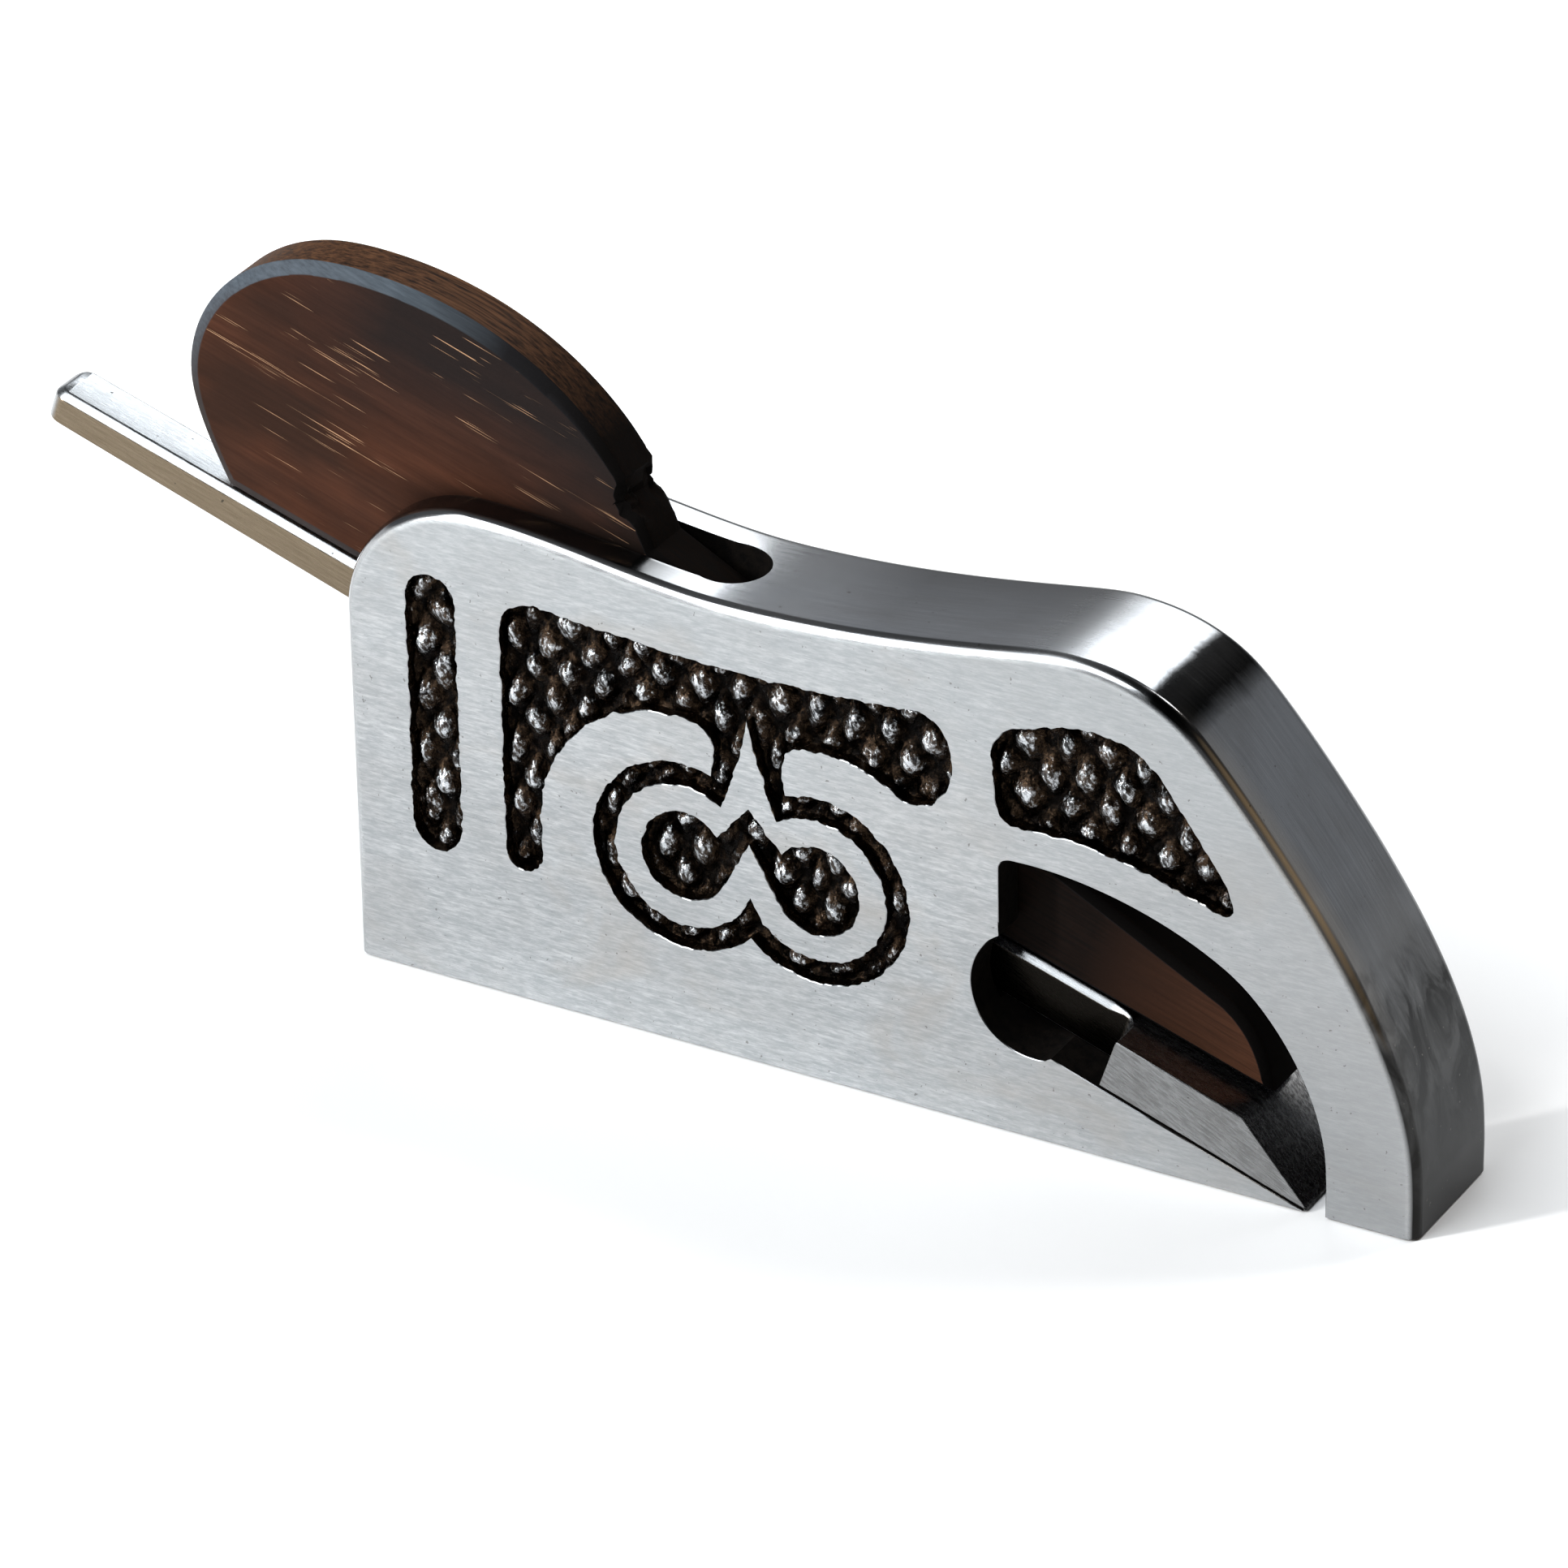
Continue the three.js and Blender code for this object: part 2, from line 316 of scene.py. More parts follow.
def finish_shading(obj, angle=30):
    """Smooth shading with edges kept sharp above an angle in degrees."""
    obj.data.shade_smooth()
    obj.data.set_sharp_from_angle(angle=math.radians(angle))
    weighted = obj.modifiers.new("weighted_normals", "WEIGHTED_NORMAL")
    weighted.keep_sharp = True
    weighted.weight = 100


# ---------------------------------------------------------------- materials

class Nodes:
    """Shorthand for building the nodes of one material, or of the world."""

    def __init__(self, name, owners=None, shader="Principled BSDF"):
        self.material = (bpy.data.materials if owners is None else owners).new(name)
        self.material.use_nodes = True
        self.tree = self.material.node_tree
        self.shader = self.tree.nodes[shader]

    def add(self, kind, **values):
        """A node, with values for its sockets or its settings."""
        node = self.tree.nodes.new(kind)
        for key, value in values.items():
            if key in node.inputs:
                node.inputs[key].default_value = value
            else:
                setattr(node, key, value)
        return node

    def link(self, source, target):
        self.tree.links.new(source, target)

    def millimetres(self, scale=(1, 1, 1), turn_y=0.0):
        """Object coordinates in millimetres, turned about y and then scaled."""
        coords = self.add("ShaderNodeTexCoord")
        turned = self.add("ShaderNodeMapping", vector_type="POINT")
        turned.inputs["Rotation"].default_value = (0, turn_y, 0)
        turned.inputs["Scale"].default_value = (1000, 1000, 1000)
        stretched = self.add("ShaderNodeVectorMath", operation="MULTIPLY")
        stretched.inputs[1].default_value = scale
        self.link(coords.outputs["Object"], turned.inputs["Vector"])
        self.link(turned.outputs["Vector"], stretched.inputs[0])
        return stretched.outputs["Vector"]

    def axes(self, vector):
        """The x, y and z parts of a vector."""
        node = self.add("ShaderNodeSeparateXYZ")
        self.link(vector, node.inputs["Vector"])
        return [node.outputs[axis] for axis in "XYZ"]

    def noise(self, vector, detail, roughness, distortion=0.0):
        node = self.add("ShaderNodeTexNoise", Scale=1.0, Detail=detail, Roughness=roughness,
                        Distortion=distortion)
        self.link(vector, node.inputs["Vector"])
        return node.outputs["Fac"]

    def spread(self, value, low, high, out_low=0.0, out_high=1.0):
        """A value's range low..high stretched to out_low..out_high and held there."""
        node = self.add("ShaderNodeMapRange")
        numbers = {"From Min": low, "From Max": high, "To Min": out_low, "To Max": out_high}
        for key, number in numbers.items():
            node.inputs[key].default_value = number
        self.link(value, node.inputs["Value"])
        return node.outputs["Result"]

    def maths(self, operation, a, b):
        node = self.add("ShaderNodeMath", operation=operation)
        for socket, value in zip(node.inputs, (a, b)):
            if isinstance(value, (int, float)):
                socket.default_value = value
            else:
                self.link(value, socket)
        return node.outputs["Value"]

    def times(self, a, b):
        return self.maths("MULTIPLY", a, b)

    def plus(self, a, b):
        return self.maths("ADD", a, b)

    def blend(self, factor, a, b):
        """One colour mixed into another: the factor, A and B sockets of a colour mix are 0, 6 and 7."""
        node = self.add("ShaderNodeMix", data_type="RGBA", blend_type="MIX")
        for index, value in ((0, factor), (6, a), (7, b)):
            if isinstance(value, tuple):
                node.inputs[index].default_value = value
            else:
                self.link(value, node.inputs[index])
        return node.outputs[2]

    def bump(self, height, distance, strength):
        node = self.add("ShaderNodeBump", Strength=strength, Distance=distance)
        self.link(height, node.inputs["Height"])
        return node.outputs["Normal"]

    def to_shader(self, **sources):
        """Sets or links the shader's inputs, named with _ for each space."""
        for key, source in sources.items():
            socket = self.shader.inputs[key.replace("_", " ")]
            if isinstance(source, (int, float, tuple)):
                socket.default_value = source
            else:
                self.link(source, socket)


def grey(level, warm=0.0):
    return (level * (1 + warm), level, level * (1 - warm), 1.0)


def rgb(red, green, blue):
    return (red, green, blue, 1.0)


def facing(n):
    """The x, y and z parts of the way a surface looks."""
    return n.axes(n.add("ShaderNodeNewGeometry").outputs["Normal"])


def facing_across(n):
    """1 on faces that look sideways, 0 on the top, the ends and the sole."""
    return n.maths("ABSOLUTE", facing(n)[1], 0.0)


def ground_steel():
    """Bright steel: the sides ground lengthwise, the top and the nose polished and darker, with painted
    shade, light and reflections.
    """
    n = Nodes("ground_steel")
    across = facing_across(n)
    side = n.spread(across, 0.8, 0.97)
    side_grain = n.noise(n.millimetres((0.3, 4.5, 4.5)), 5.0, 0.7)
    top_grain = n.noise(n.millimetres((0.12, 9.0, 0.12)), 4.0, 0.65)
    fine = n.noise(n.millimetres((1.3, 30.0, 30.0)), 2.0, 0.6)
    blotch = n.noise(n.millimetres((0.09, 0.2, 0.13)), 5.0, 0.62)
    specks = n.noise(n.millimetres((2.6, 2.6, 2.6)), 1.0, 0.4)
    mottle = n.noise(n.millimetres((0.8, 4.0, 4.0)), 4.0, 0.7)
    stain = n.noise(n.millimetres((0.07, 0.2, 0.11)), 4.0, 0.6, 0.8)
    dark_reflection_noise = n.noise(n.millimetres((0.2, 0.3, 0.16), DARK_REFLECTION_TURN), 4.0, 0.6, 1.2)
    x, y, z = n.axes(n.millimetres())

    # Sides: ground streaks, a fine scratch, stains, and painted shade darker towards the nose and the top
    tone = n.blend(n.spread(side_grain, 0.3, 0.7), rgb(0.35, 0.37, 0.385), rgb(0.635, 0.65, 0.655))
    tone = n.blend(n.spread(fine, 0.4, 0.75, 0.0, 0.8), tone, grey(0.72, -0.01))
    tone = n.blend(n.spread(mottle, 0.38, 0.62, 0.0, 0.7), tone, rgb(0.355, 0.375, 0.39))
    tone = n.blend(n.spread(blotch, 0.42, 0.72, 0.0, 0.35), tone, grey(0.38, 0.02))
    tone = n.blend(n.spread(stain, 0.55, 0.72, 0.0, 0.45), tone, rgb(0.43, 0.39, 0.35))
    # painted shade: the side darkens towards the nose and towards the top
    tone = n.blend(n.spread(x, 5.0, 45.0, 0.0, 0.75), tone, rgb(0.33, 0.335, 0.34))
    tone = n.blend(n.spread(z, 22.0, 41.0, 0.0, 0.38), tone, rgb(0.36, 0.38, 0.39))

    # Top: brushed; painted shade on its far half, a painted dark reflection along its far edge, painted light
    # towards the heel, a painted shadow beside the slot
    top_tone = n.blend(n.spread(top_grain, 0.3, 0.7), rgb(0.33, 0.34, 0.355), rgb(0.44, 0.45, 0.465))
    top_tone = n.blend(n.spread(blotch, 0.4, 0.7, 0.0, 0.5), top_tone, grey(0.22, 0.03))
    # painted shade over the far half of the top
    far_half_shade = n.times(n.spread(y, -4.0, 6.0, 0.15, 0.9), n.spread(x, 15.0, 25.0, 1.0, 0.0))
    top_tone = n.blend(far_half_shade, top_tone, grey(0.15, 0.02))
    # painted light: the top turns lighter towards the heel
    top_tone = n.blend(n.spread(x, -6.0, 0.0, 0.2, 0.0), top_tone, grey(0.72, -0.01))
    # painted shadow on the top beside the slot, on its near side
    near_strip = n.times(n.spread(y, -5.9, -5.4), n.spread(y, -3.4, -2.6, 1.0, 0.0))
    shadow_beside_slot = n.times(n.spread(x, -20.5, -14.5, 0.93, 0.0), near_strip)
    shadow_beside_slot = n.times(shadow_beside_slot, n.spread(z, 38.5, 40.5))
    top_tone = n.blend(shadow_beside_slot, top_tone, grey(0.04))
    # painted dark reflection along the far edge of the top
    top_tone = n.blend(n.spread(y, 5.1, 5.7, 0.0, 0.75), top_tone, grey(0.03))

    # Nose: painted dark reflections in a band past the crest and over the lower part, a painted warm
    # reflection on the near edge
    # painted dark reflection: a black band just past the crest, its edges shaped by noise
    crest_dark_reflection = n.plus(x, n.times(dark_reflection_noise, 2.0))
    crest_dark_reflection = n.times(n.spread(crest_dark_reflection, 24.9, 25.6), n.spread(crest_dark_reflection, 28.2, 29.6, 1.0, 0.0))
    top_tone = n.blend(n.times(crest_dark_reflection, 0.93), top_tone, grey(0.01, 0.05))
    # painted warm reflection on the near edge of the nose
    warm_edge_reflection = n.times(n.spread(y, -5.6, -3.4, 1.0, 0.0), n.spread(x, 26.0, 31.0))
    top_tone = n.blend(n.times(warm_edge_reflection, 0.6), top_tone, rgb(0.55, 0.50, 0.44))
    # painted dark reflection low on the nose
    nose_dark_reflection = n.times(n.spread(z, 21.0, 27.0, 0.75, 0.0), n.spread(x, 35.0, 37.0))
    top_tone = n.blend(nose_dark_reflection, top_tone, grey(0.06))
    # painted dark reflection over the lower part of the nose, darkest near the sole, its edge shaped by noise
    painted_dark_reflection = n.blend(n.spread(dark_reflection_noise, 0.4, 0.6), grey(0.008, 0.01), grey(0.04))
    painted_dark_reflection = n.blend(n.spread(z, 2.0, 12.0, 0.95, 0.0), painted_dark_reflection, grey(0.003))
    dark_reflection_edge = n.plus(z, n.times(dark_reflection_noise, 10.0))
    low_nose = n.times(n.spread(x, 38.5, 40.5), n.spread(dark_reflection_edge, 21.0, 26.0, 1.0, 0.0))
    top_tone = n.blend(n.times(low_nose, 0.92), top_tone, painted_dark_reflection)

    tone = n.blend(side, top_tone, tone)
    tone = n.blend(n.spread(specks, 0.76, 0.79, 0.0, 0.6), tone, grey(0.12, 0.08))

    side_rough = n.times(n.spread(side_grain, 0.3, 0.7, 0.27, 0.36), side)
    top_rough = n.plus(n.spread(top_grain, 0.3, 0.7, 0.11, 0.17), n.spread(blotch, 0.4, 0.7, 0.0, 0.05))
    before_crest = n.times(n.spread(x, 10.5, 15.5, 0.0, 0.14), n.spread(x, 17.0, 20.0, 1.0, 0.0))
    top_rough = n.times(n.plus(top_rough, before_crest), n.maths("SUBTRACT", 1.0, side))
    side_relief = n.times(n.plus(side_grain, n.times(mottle, 0.8)), side)
    relief = n.plus(side_relief, n.times(top_grain, 0.4))
    n.to_shader(Base_Color=tone, Metallic=1.0, Roughness=n.plus(side_rough, top_rough),
                Normal=n.bump(relief, GRAIN_DEPTH, 0.4))
    return n.material


def blade_steel():
    """Greyer hardened steel: straw colour on the tang's flanks, black scale behind the shoulder that also
    paints the shade inside the body.
    """
    n = Nodes("blade_steel")
    marks = n.noise(n.millimetres((0.6, 4.0, 4.5), MARKS_TURN), 4.0, 0.7)
    length = n.noise(n.millimetres((0.3, 8.0, 8.0), -BED), 3.0, 0.6)
    blotch = n.noise(n.millimetres((0.2, 0.2, 0.2)), 5.0, 0.65)
    specks = n.noise(n.millimetres((1.6, 1.6, 1.6)), 1.0, 0.4)
    along = n.axes(n.millimetres((1, 1, 1), -BED))[0]
    across = facing_across(n)
    flank = n.spread(across, 0.75, 0.95)
    tang = n.spread(along, 16.6, 17.0, 1.0, 0.0)
    near_head = n.spread(along, -14.0, -2.0)
    tone = n.blend(n.spread(marks, 0.35, 0.65), grey(0.19), grey(0.33, -0.01))
    tone = n.blend(n.spread(blotch, 0.45, 0.75, 0.0, 0.5), tone, grey(0.16, 0.03))
    polished = n.blend(n.spread(length, 0.3, 0.7), grey(0.34, -0.03), grey(0.45, -0.03))
    polished = n.blend(n.spread(blotch, 0.5, 0.7, 0.0, 0.3), polished, grey(0.29))
    tone = n.blend(tang, tone, polished)
    straw = n.blend(n.spread(length, 0.3, 0.7), rgb(0.155, 0.12, 0.08), rgb(0.225, 0.178, 0.125))
    tone = n.blend(n.times(flank, tang), tone, straw)
    # the chamfer is kept out of the black, so its polished steel shows
    unshaded_edge = n.times(n.spread(across, 0.3, 0.5), n.spread(across, 0.8, 0.95, 1.0, 0.0))
    # black scale behind the shoulder, also painted shade on the tang inside the body
    scale = n.times(n.times(near_head, tang), n.spread(unshaded_edge, 0.0, 1.0, 0.98, 0.1))
    tone = n.blend(scale, tone, grey(0.006, 0.1))
    tone = n.blend(n.spread(specks, 0.76, 0.78, 0.0, 0.8), tone, grey(0.03, 0.1))
    relief = n.plus(marks, n.times(length, 0.7))
    n.to_shader(Base_Color=tone, Metallic=1.0, Roughness=n.spread(marks, 0.3, 0.7, 0.2, 0.34),
                Normal=n.bump(relief, GRAIN_DEPTH, 0.4))
    return n.material


def black_enamel():
    """Black paint with a brown cast, rubbed through to grey metal on the tops of the knobs; the metal is cut
    into streaks as painted glints.
    """
    n = Nodes("black_enamel")
    lumps = n.noise(n.millimetres((1.8, 1.8, 1.8)), 4.0, 0.6)
    cloud = n.noise(n.millimetres((0.5, 0.5, 0.5)), 3.0, 0.6)
    rubbed = n.noise(n.millimetres((2.0, 2.0, 1.5)), 4.0, 0.7)
    glint_streaks = n.noise(n.millimetres((3.4, 1.2, 1.4), GLINT_STREAKS_TURN), 3.0, 0.6)
    x, y, _ = n.axes(n.millimetres())
    height = n.maths("SUBTRACT", n.maths("ABSOLUTE", y, 0.0), HALF_WIDTH - SUNK_DEPTH)
    flat = n.spread(facing_across(n), 0.25, 0.6)
    patchy = n.plus(height, n.times(rubbed, 2.4))
    # painted light: more bright metal on the knobs towards the heel
    patchy = n.plus(patchy, n.spread(x, -45.0, -36.0, 0.2, 0.0))
    brown = n.times(n.spread(patchy, 1.3, 2.0), n.spread(cloud, 0.35, 0.6))
    # bright metal at the knob tops, partly wear and partly painted glints, broken into streaks
    worn_and_glints = n.times(n.maths("POWER", n.spread(patchy, 1.9, 2.4), 1.3), flat)
    worn_and_glints = n.times(worn_and_glints, n.spread(glint_streaks, 0.44, 0.55, 0.05, 1.0))
    tone = n.blend(brown, rgb(0.0022, 0.0018, 0.0015), rgb(0.044, 0.028, 0.017))
    tone = n.blend(worn_and_glints, tone, rgb(0.68, 0.71, 0.74))
    relief = n.plus(lumps, n.times(rubbed, 0.5))
    n.to_shader(Base_Color=tone, Metallic=1.0, Roughness=n.spread(lumps, 0.3, 0.7, 0.13, 0.30),
                Normal=n.bump(relief, ENAMEL_DEPTH, 0.85))
    return n.material


def casting_and_shade():
    """Unpolished iron inside the throat and the mortise, near black: blackened skin and painted shade."""
    n = Nodes("casting_and_shade")
    skin = n.noise(n.millimetres((1.1, 1.1, 1.1)), 5.0, 0.65)
    tone = n.blend(n.spread(skin, 0.35, 0.7), rgb(0.0015, 0.0013, 0.0012), rgb(0.006, 0.0045, 0.0035))
    n.to_shader(Base_Color=tone, Roughness=n.spread(skin, 0.3, 0.7, 0.8, 0.95), Specular_IOR_Level=0.05,
                Normal=n.bump(skin, CASTING_DEPTH, 0.6))
    return n.material


def rosewood():
    """Dark red-brown wood, its grain along the wedge, with short pale open pores."""
    n = Nodes("rosewood")
    grain = n.noise(n.millimetres((0.05, 0.6, 0.6), -BED), 4.0, 0.6, 0.5)
    thin = n.noise(n.millimetres((0.15, 3.4, 3.4), -BED), 4.0, 0.65)
    patch = n.noise(n.millimetres((0.05, 0.1, 0.1), -BED), 3.0, 0.55)
    pores = n.noise(n.millimetres((0.16, 13.0, 13.0), -BED), 0.0, 0.4)
    where = n.noise(n.millimetres((0.12, 0.75, 0.75), -BED), 1.0, 0.4)
    along, _, above = n.axes(n.millimetres((1, 1, 1), -BED))
    x, _, z = n.axes(n.millimetres())
    across = facing_across(n)
    upward = facing(n)[2]

    # Faces: streaks and patches, a dark cloud over the upper part, painted shade where the wood meets the
    # body's rim
    tone = n.blend(n.spread(grain, 0.3, 0.7), rgb(0.037, 0.0135, 0.007), rgb(0.070, 0.026, 0.014))
    tone = n.blend(n.spread(thin, 0.4, 0.7, 0.0, 0.5), tone, rgb(0.024, 0.010, 0.006))
    tone = n.blend(n.spread(patch, 0.48, 0.64, 0.0, 0.7), tone, rgb(0.018, 0.010, 0.007))
    cloud_edge = n.plus(above, n.times(patch, 10.0))
    upper = n.times(n.spread(cloud_edge, 32.0, 42.0), n.spread(along, -74.0, -60.0))
    tone = n.blend(n.times(upper, 0.9), tone, rgb(0.009, 0.008, 0.008))
    # painted shade on the wood just above the body's rim
    shade_at_rim = n.times(n.spread(z, 41.2, 43.6, 0.9, 0.0), n.spread(x, -46.0, -38.0))
    tone = n.blend(shade_at_rim, tone, rgb(0.004, 0.003, 0.0025))
    pore = n.times(n.spread(pores, 0.735, 0.765), n.spread(where, 0.55, 0.62))
    pore = n.times(pore, n.spread(along, -37.0, -31.0, 1.0, 0.0))
    pore = n.times(pore, n.spread(across, 0.93, 0.98))
    tone = n.blend(n.times(pore, 0.85), tone, rgb(0.42, 0.25, 0.14))

    # The part inside the body: painted shade, near black, clearing towards the tip
    inner = n.blend(n.spread(along, 11.0, 28.0), rgb(0.003, 0.002, 0.0015), rgb(0.058, 0.024, 0.013))
    inner = n.blend(n.spread(thin, 0.4, 0.7, 0.0, 0.6), inner, rgb(0.012, 0.006, 0.004))
    tone = n.blend(n.spread(along, -34.0, -25.0), tone, inner)

    # Edges: plain wood on the rim, a painted bluish sheen on the chamfers that look up, painted shade from
    # the notch to the tip
    edge_tone = n.blend(n.spread(thin, 0.35, 0.65), rgb(0.010, 0.005, 0.003), rgb(0.10, 0.046, 0.022))
    tone = n.blend(n.spread(across, 0.2, 0.5), edge_tone, tone)
    # painted bluish sheen on the chamfers that look up, darker where they look down and towards the front
    painted_sheen = n.times(n.spread(across, 0.4, 0.5), n.spread(across, 0.94, 0.98, 1.0, 0.0))
    sheen_tone = n.blend(n.spread(thin, 0.35, 0.65), rgb(0.048, 0.061, 0.074), rgb(0.078, 0.096, 0.114))
    sheen_tone = n.blend(n.spread(upward, -0.1, 0.45, 0.85, 0.0), sheen_tone, rgb(0.022, 0.014, 0.010))
    sheen_tone = n.blend(n.spread(along, -61.0, -50.0), sheen_tone, rgb(0.008, 0.008, 0.009))
    tone = n.blend(n.times(painted_sheen, 0.9), tone, sheen_tone)
    # painted shade on the edge faces from the notch to the tip
    edge_shade = n.times(n.spread(along, -52.0, -40.0), n.spread(across, 0.85, 0.95, 1.0, 0.0))
    tone = n.blend(n.times(edge_shade, 0.97), tone, rgb(0.0022, 0.0018, 0.0016))

    rough = n.plus(n.spread(thin, 0.3, 0.7, 0.5, 0.62), n.times(edge_shade, 0.35))
    relief = n.maths("SUBTRACT", thin, n.times(pore, 0.8))
    n.to_shader(Base_Color=tone, Roughness=rough, Specular_IOR_Level=0.04,
                Normal=n.bump(relief, WOOD_DEPTH, 0.4))
    return n.material


def studio_floor():
    """Off-white floor that glows far away, so that no horizon shows, and glows behind the plane as painted
    light over its shadow.
    """
    n = Nodes("studio_floor")
    cloud = n.noise(n.millimetres((0.01, 0.01, 0.01)), 2.0, 0.5)
    tone = n.blend(n.spread(cloud, 0.3, 0.7), grey(0.89), grey(0.91))
    distance = n.add("ShaderNodeVectorMath", operation="LENGTH")
    n.link(n.millimetres(), distance.inputs[0])
    far = n.spread(distance.outputs["Value"], 800.0, 2600.0, 0.0, 0.72)
    # painted light: glow on the floor behind the plane lifts its shadow
    behind = n.spread(n.axes(n.millimetres())[1], 2.0, 22.0, 0.0, 0.3)
    n.to_shader(Base_Color=tone, Roughness=0.9, Specular_IOR_Level=0.1,
                Emission_Color=rgb(0.97, 0.985, 1.0), Emission_Strength=n.maths("MAXIMUM", far, behind))
    return n.material


def studio_world():
    """Dim overhead, pale at the horizon, a soft glow above it behind, a warm one to the right."""
    n = Nodes("studio_world", bpy.data.worlds, "Background")
    x, y, z = n.axes(n.add("ShaderNodeTexCoord").outputs["Generated"])
    low = n.spread(z, 0.38, 0.5, 1.0, 0.0)
    behind = n.spread(y, 0.1, 0.6)
    to_left = n.times(behind, n.spread(x, -0.3, -0.1, 1.0, 0.0))
    to_left = n.times(to_left, n.spread(z, 0.5, 0.6, 1.0, 0.0))
    to_right = n.times(n.spread(x, 0.7, 0.92), n.spread(y, 0.1, 0.6, 1.0, 0.0))
    horizon = n.spread(n.maths("ABSOLUTE", z, 0.0), 0.09, 0.15, 1.0, 0.0)
    glow = n.blend(behind, rgb(0.10, 0.105, 0.115), rgb(0.27, 0.28, 0.295))
    overhead = n.blend(n.spread(x, -0.2, -0.05, 1.0, 0.0), grey(0.012, -0.05), grey(0.12, -0.03))
    tone = n.blend(low, overhead, glow)
    tone = n.blend(to_left, tone, rgb(0.38, 0.395, 0.42))
    tone = n.blend(n.times(to_right, 0.85), tone, rgb(0.45, 0.34, 0.21))
    tone = n.blend(horizon, tone, rgb(0.84, 0.855, 0.87))
    n.to_shader(Color=tone, Strength=1.0)
    return n.material


STEEL = ground_steel()
BLADE_STEEL = blade_steel()
ENAMEL = black_enamel()
CASTING_AND_SHADE = casting_and_shade()
ROSEWOOD = rosewood()


# ---------------------------------------------------------------- body

def blank(perimeter):
    """The uncut body, in millimetres: a rounded arris round the sides, crisp edges along the sole."""
    n = normals(perimeter, closed=False)
    n[0], n[-1] = Vector((1, 0)), Vector((-1, 0))    # the two ends stay on the sole
    levels = []
    for k in range(ARRIS_STEPS + 1):
        angle = math.pi / 2 * k / ARRIS_STEPS
        levels.append((-HALF_WIDTH + ARRIS * (1 - math.cos(angle)), ARRIS * math.sin(angle)))
    levels += [(-y, growth) for y, growth in reversed(levels)]
    verts, faces = [], []
    count = len(perimeter)
    for y, growth in levels:
        verts += [(min(p.x + d.x * growth, TOE_X), y, p.y + d.y * growth) for p, d in zip(perimeter, n)]
    for row in range(len(levels) - 1):
        a, b = row * count, (row + 1) * count
        faces += [(a + i, a + (i + 1) % count, b + (i + 1) % count, b + i) for i in range(count)]
    last = (len(levels) - 1) * count
    faces += [tuple(range(count)), tuple(range(last, last + count))]
    return new_object("plane_body", verts, faces, (STEEL,), unit=1)


def flared(name, loops, levels, wall_material):
    """A cutter whose outermost bands leave steel rims and whose walls leave another material."""
    verts, faces = prism(loops, levels, [calm_near_corners(loop) for loop in loops])
    cutter = new_object(name, verts, faces, (STEEL, wall_material), unit=1)
    for face in cutter.data.polygons:
        outermost = max(abs(cutter.data.vertices[i].co.y) for i in face.vertices)
        face.material_index = 0 if outermost > HALF_WIDTH + OVERCUT / 2 else 1
    return cutter


def split_main(loop):
    """The perimeter and the throat, both as open lines that start and end on the sole."""
    above_sole = lambda p: p.y > ON_PLANE
    toe = max((i for i, p in enumerate(loop) if not above_sole(p)), key=lambda i: loop[i].x)
    turned = loop[toe:] + loop[:toe]
    heel = min(range(len(turned)), key=lambda i: (above_sole(turned[i]), turned[i].x))
    return turned[:heel + 1], turned[heel + 1:]


def jagged(loop, amount, seed):
    """The same outline with the small waviness of a cast edge, dying away at sharp corners."""
    generator = random.Random(seed)
    shift = Vector((generator.uniform(-50, 50), generator.uniform(-50, 50)))
    result = []
    for p, n, calm in zip(loop, normals(loop), calm_near_corners(loop)):
        wave = noise.noise(Vector((p.x * 0.8 + shift.x, p.y * 0.8 + shift.y, 0.3)))
        ripple = noise.noise(Vector((p.x * 2.0 + shift.y, p.y * 2.0 + shift.x, 7.1)))
        result.append(p + n * amount * calm * (wave + ripple))
    return result


side_loops = planar_loops("body", -HALF_WIDTH)
perimeter_line, throat_line = split_main(side_loops[0])
perimeter_line = smooth(perimeter_line, closed=False)
# The throat's outline starts with the bed, raised here.
throat_line[0].x += BED_RISE / BED_SLOPE
throat_line[1].y += BED_RISE
throat_line = smooth(throat_line, closed=False)
ornament_loops = [jagged(smooth(loop, step=CAST_STEP), CAST_WAVE, CAST_SEED + k)
                  for k, loop in enumerate(side_loops[1:])]

body = blank(perimeter_line)

below = [Vector((throat_line[end].x, BELOW_SOLE)) for end in (-1, 0)]
through = [(-HALF_WIDTH - OVERCUT, RIM + OVERCUT), (-HALF_WIDTH + RIM, 0), (HALF_WIDTH - RIM, 0),
           (HALF_WIDTH + OVERCUT, RIM + OVERCUT)]
cut(body, flared("throat_cut", [throat_line + below], through, CASTING_AND_SHADE))

bed_at = lambda x: (throat_line[0].x - x) * BED_SLOPE
roof_slope = (ROOF_START[1] - ROOF_END[1]) / (ROOF_END[0] - ROOF_START[0])
roof_at = lambda x: ROOF_START[1] - (x - ROOF_START[0]) * roof_slope
half_mortise = MORTISE_WIDTH / 2
slot_end = SLOT_FRONT - half_mortise
passage = [Vector(p) for p in (
    (BEHIND_HEEL, bed_at(BEHIND_HEEL)), (MORTISE_FRONT, bed_at(MORTISE_FRONT)),
    (MORTISE_FRONT, roof_at(MORTISE_FRONT)), (slot_end, roof_at(slot_end)),
    (slot_end, ABOVE_TOP), (BEHIND_HEEL, ABOVE_TOP))]
verts, faces = prism([passage], [(-half_mortise, 0), (half_mortise, 0)])
cut(body, new_object("mortise_cut", verts, faces, (CASTING_AND_SHADE,), unit=1))

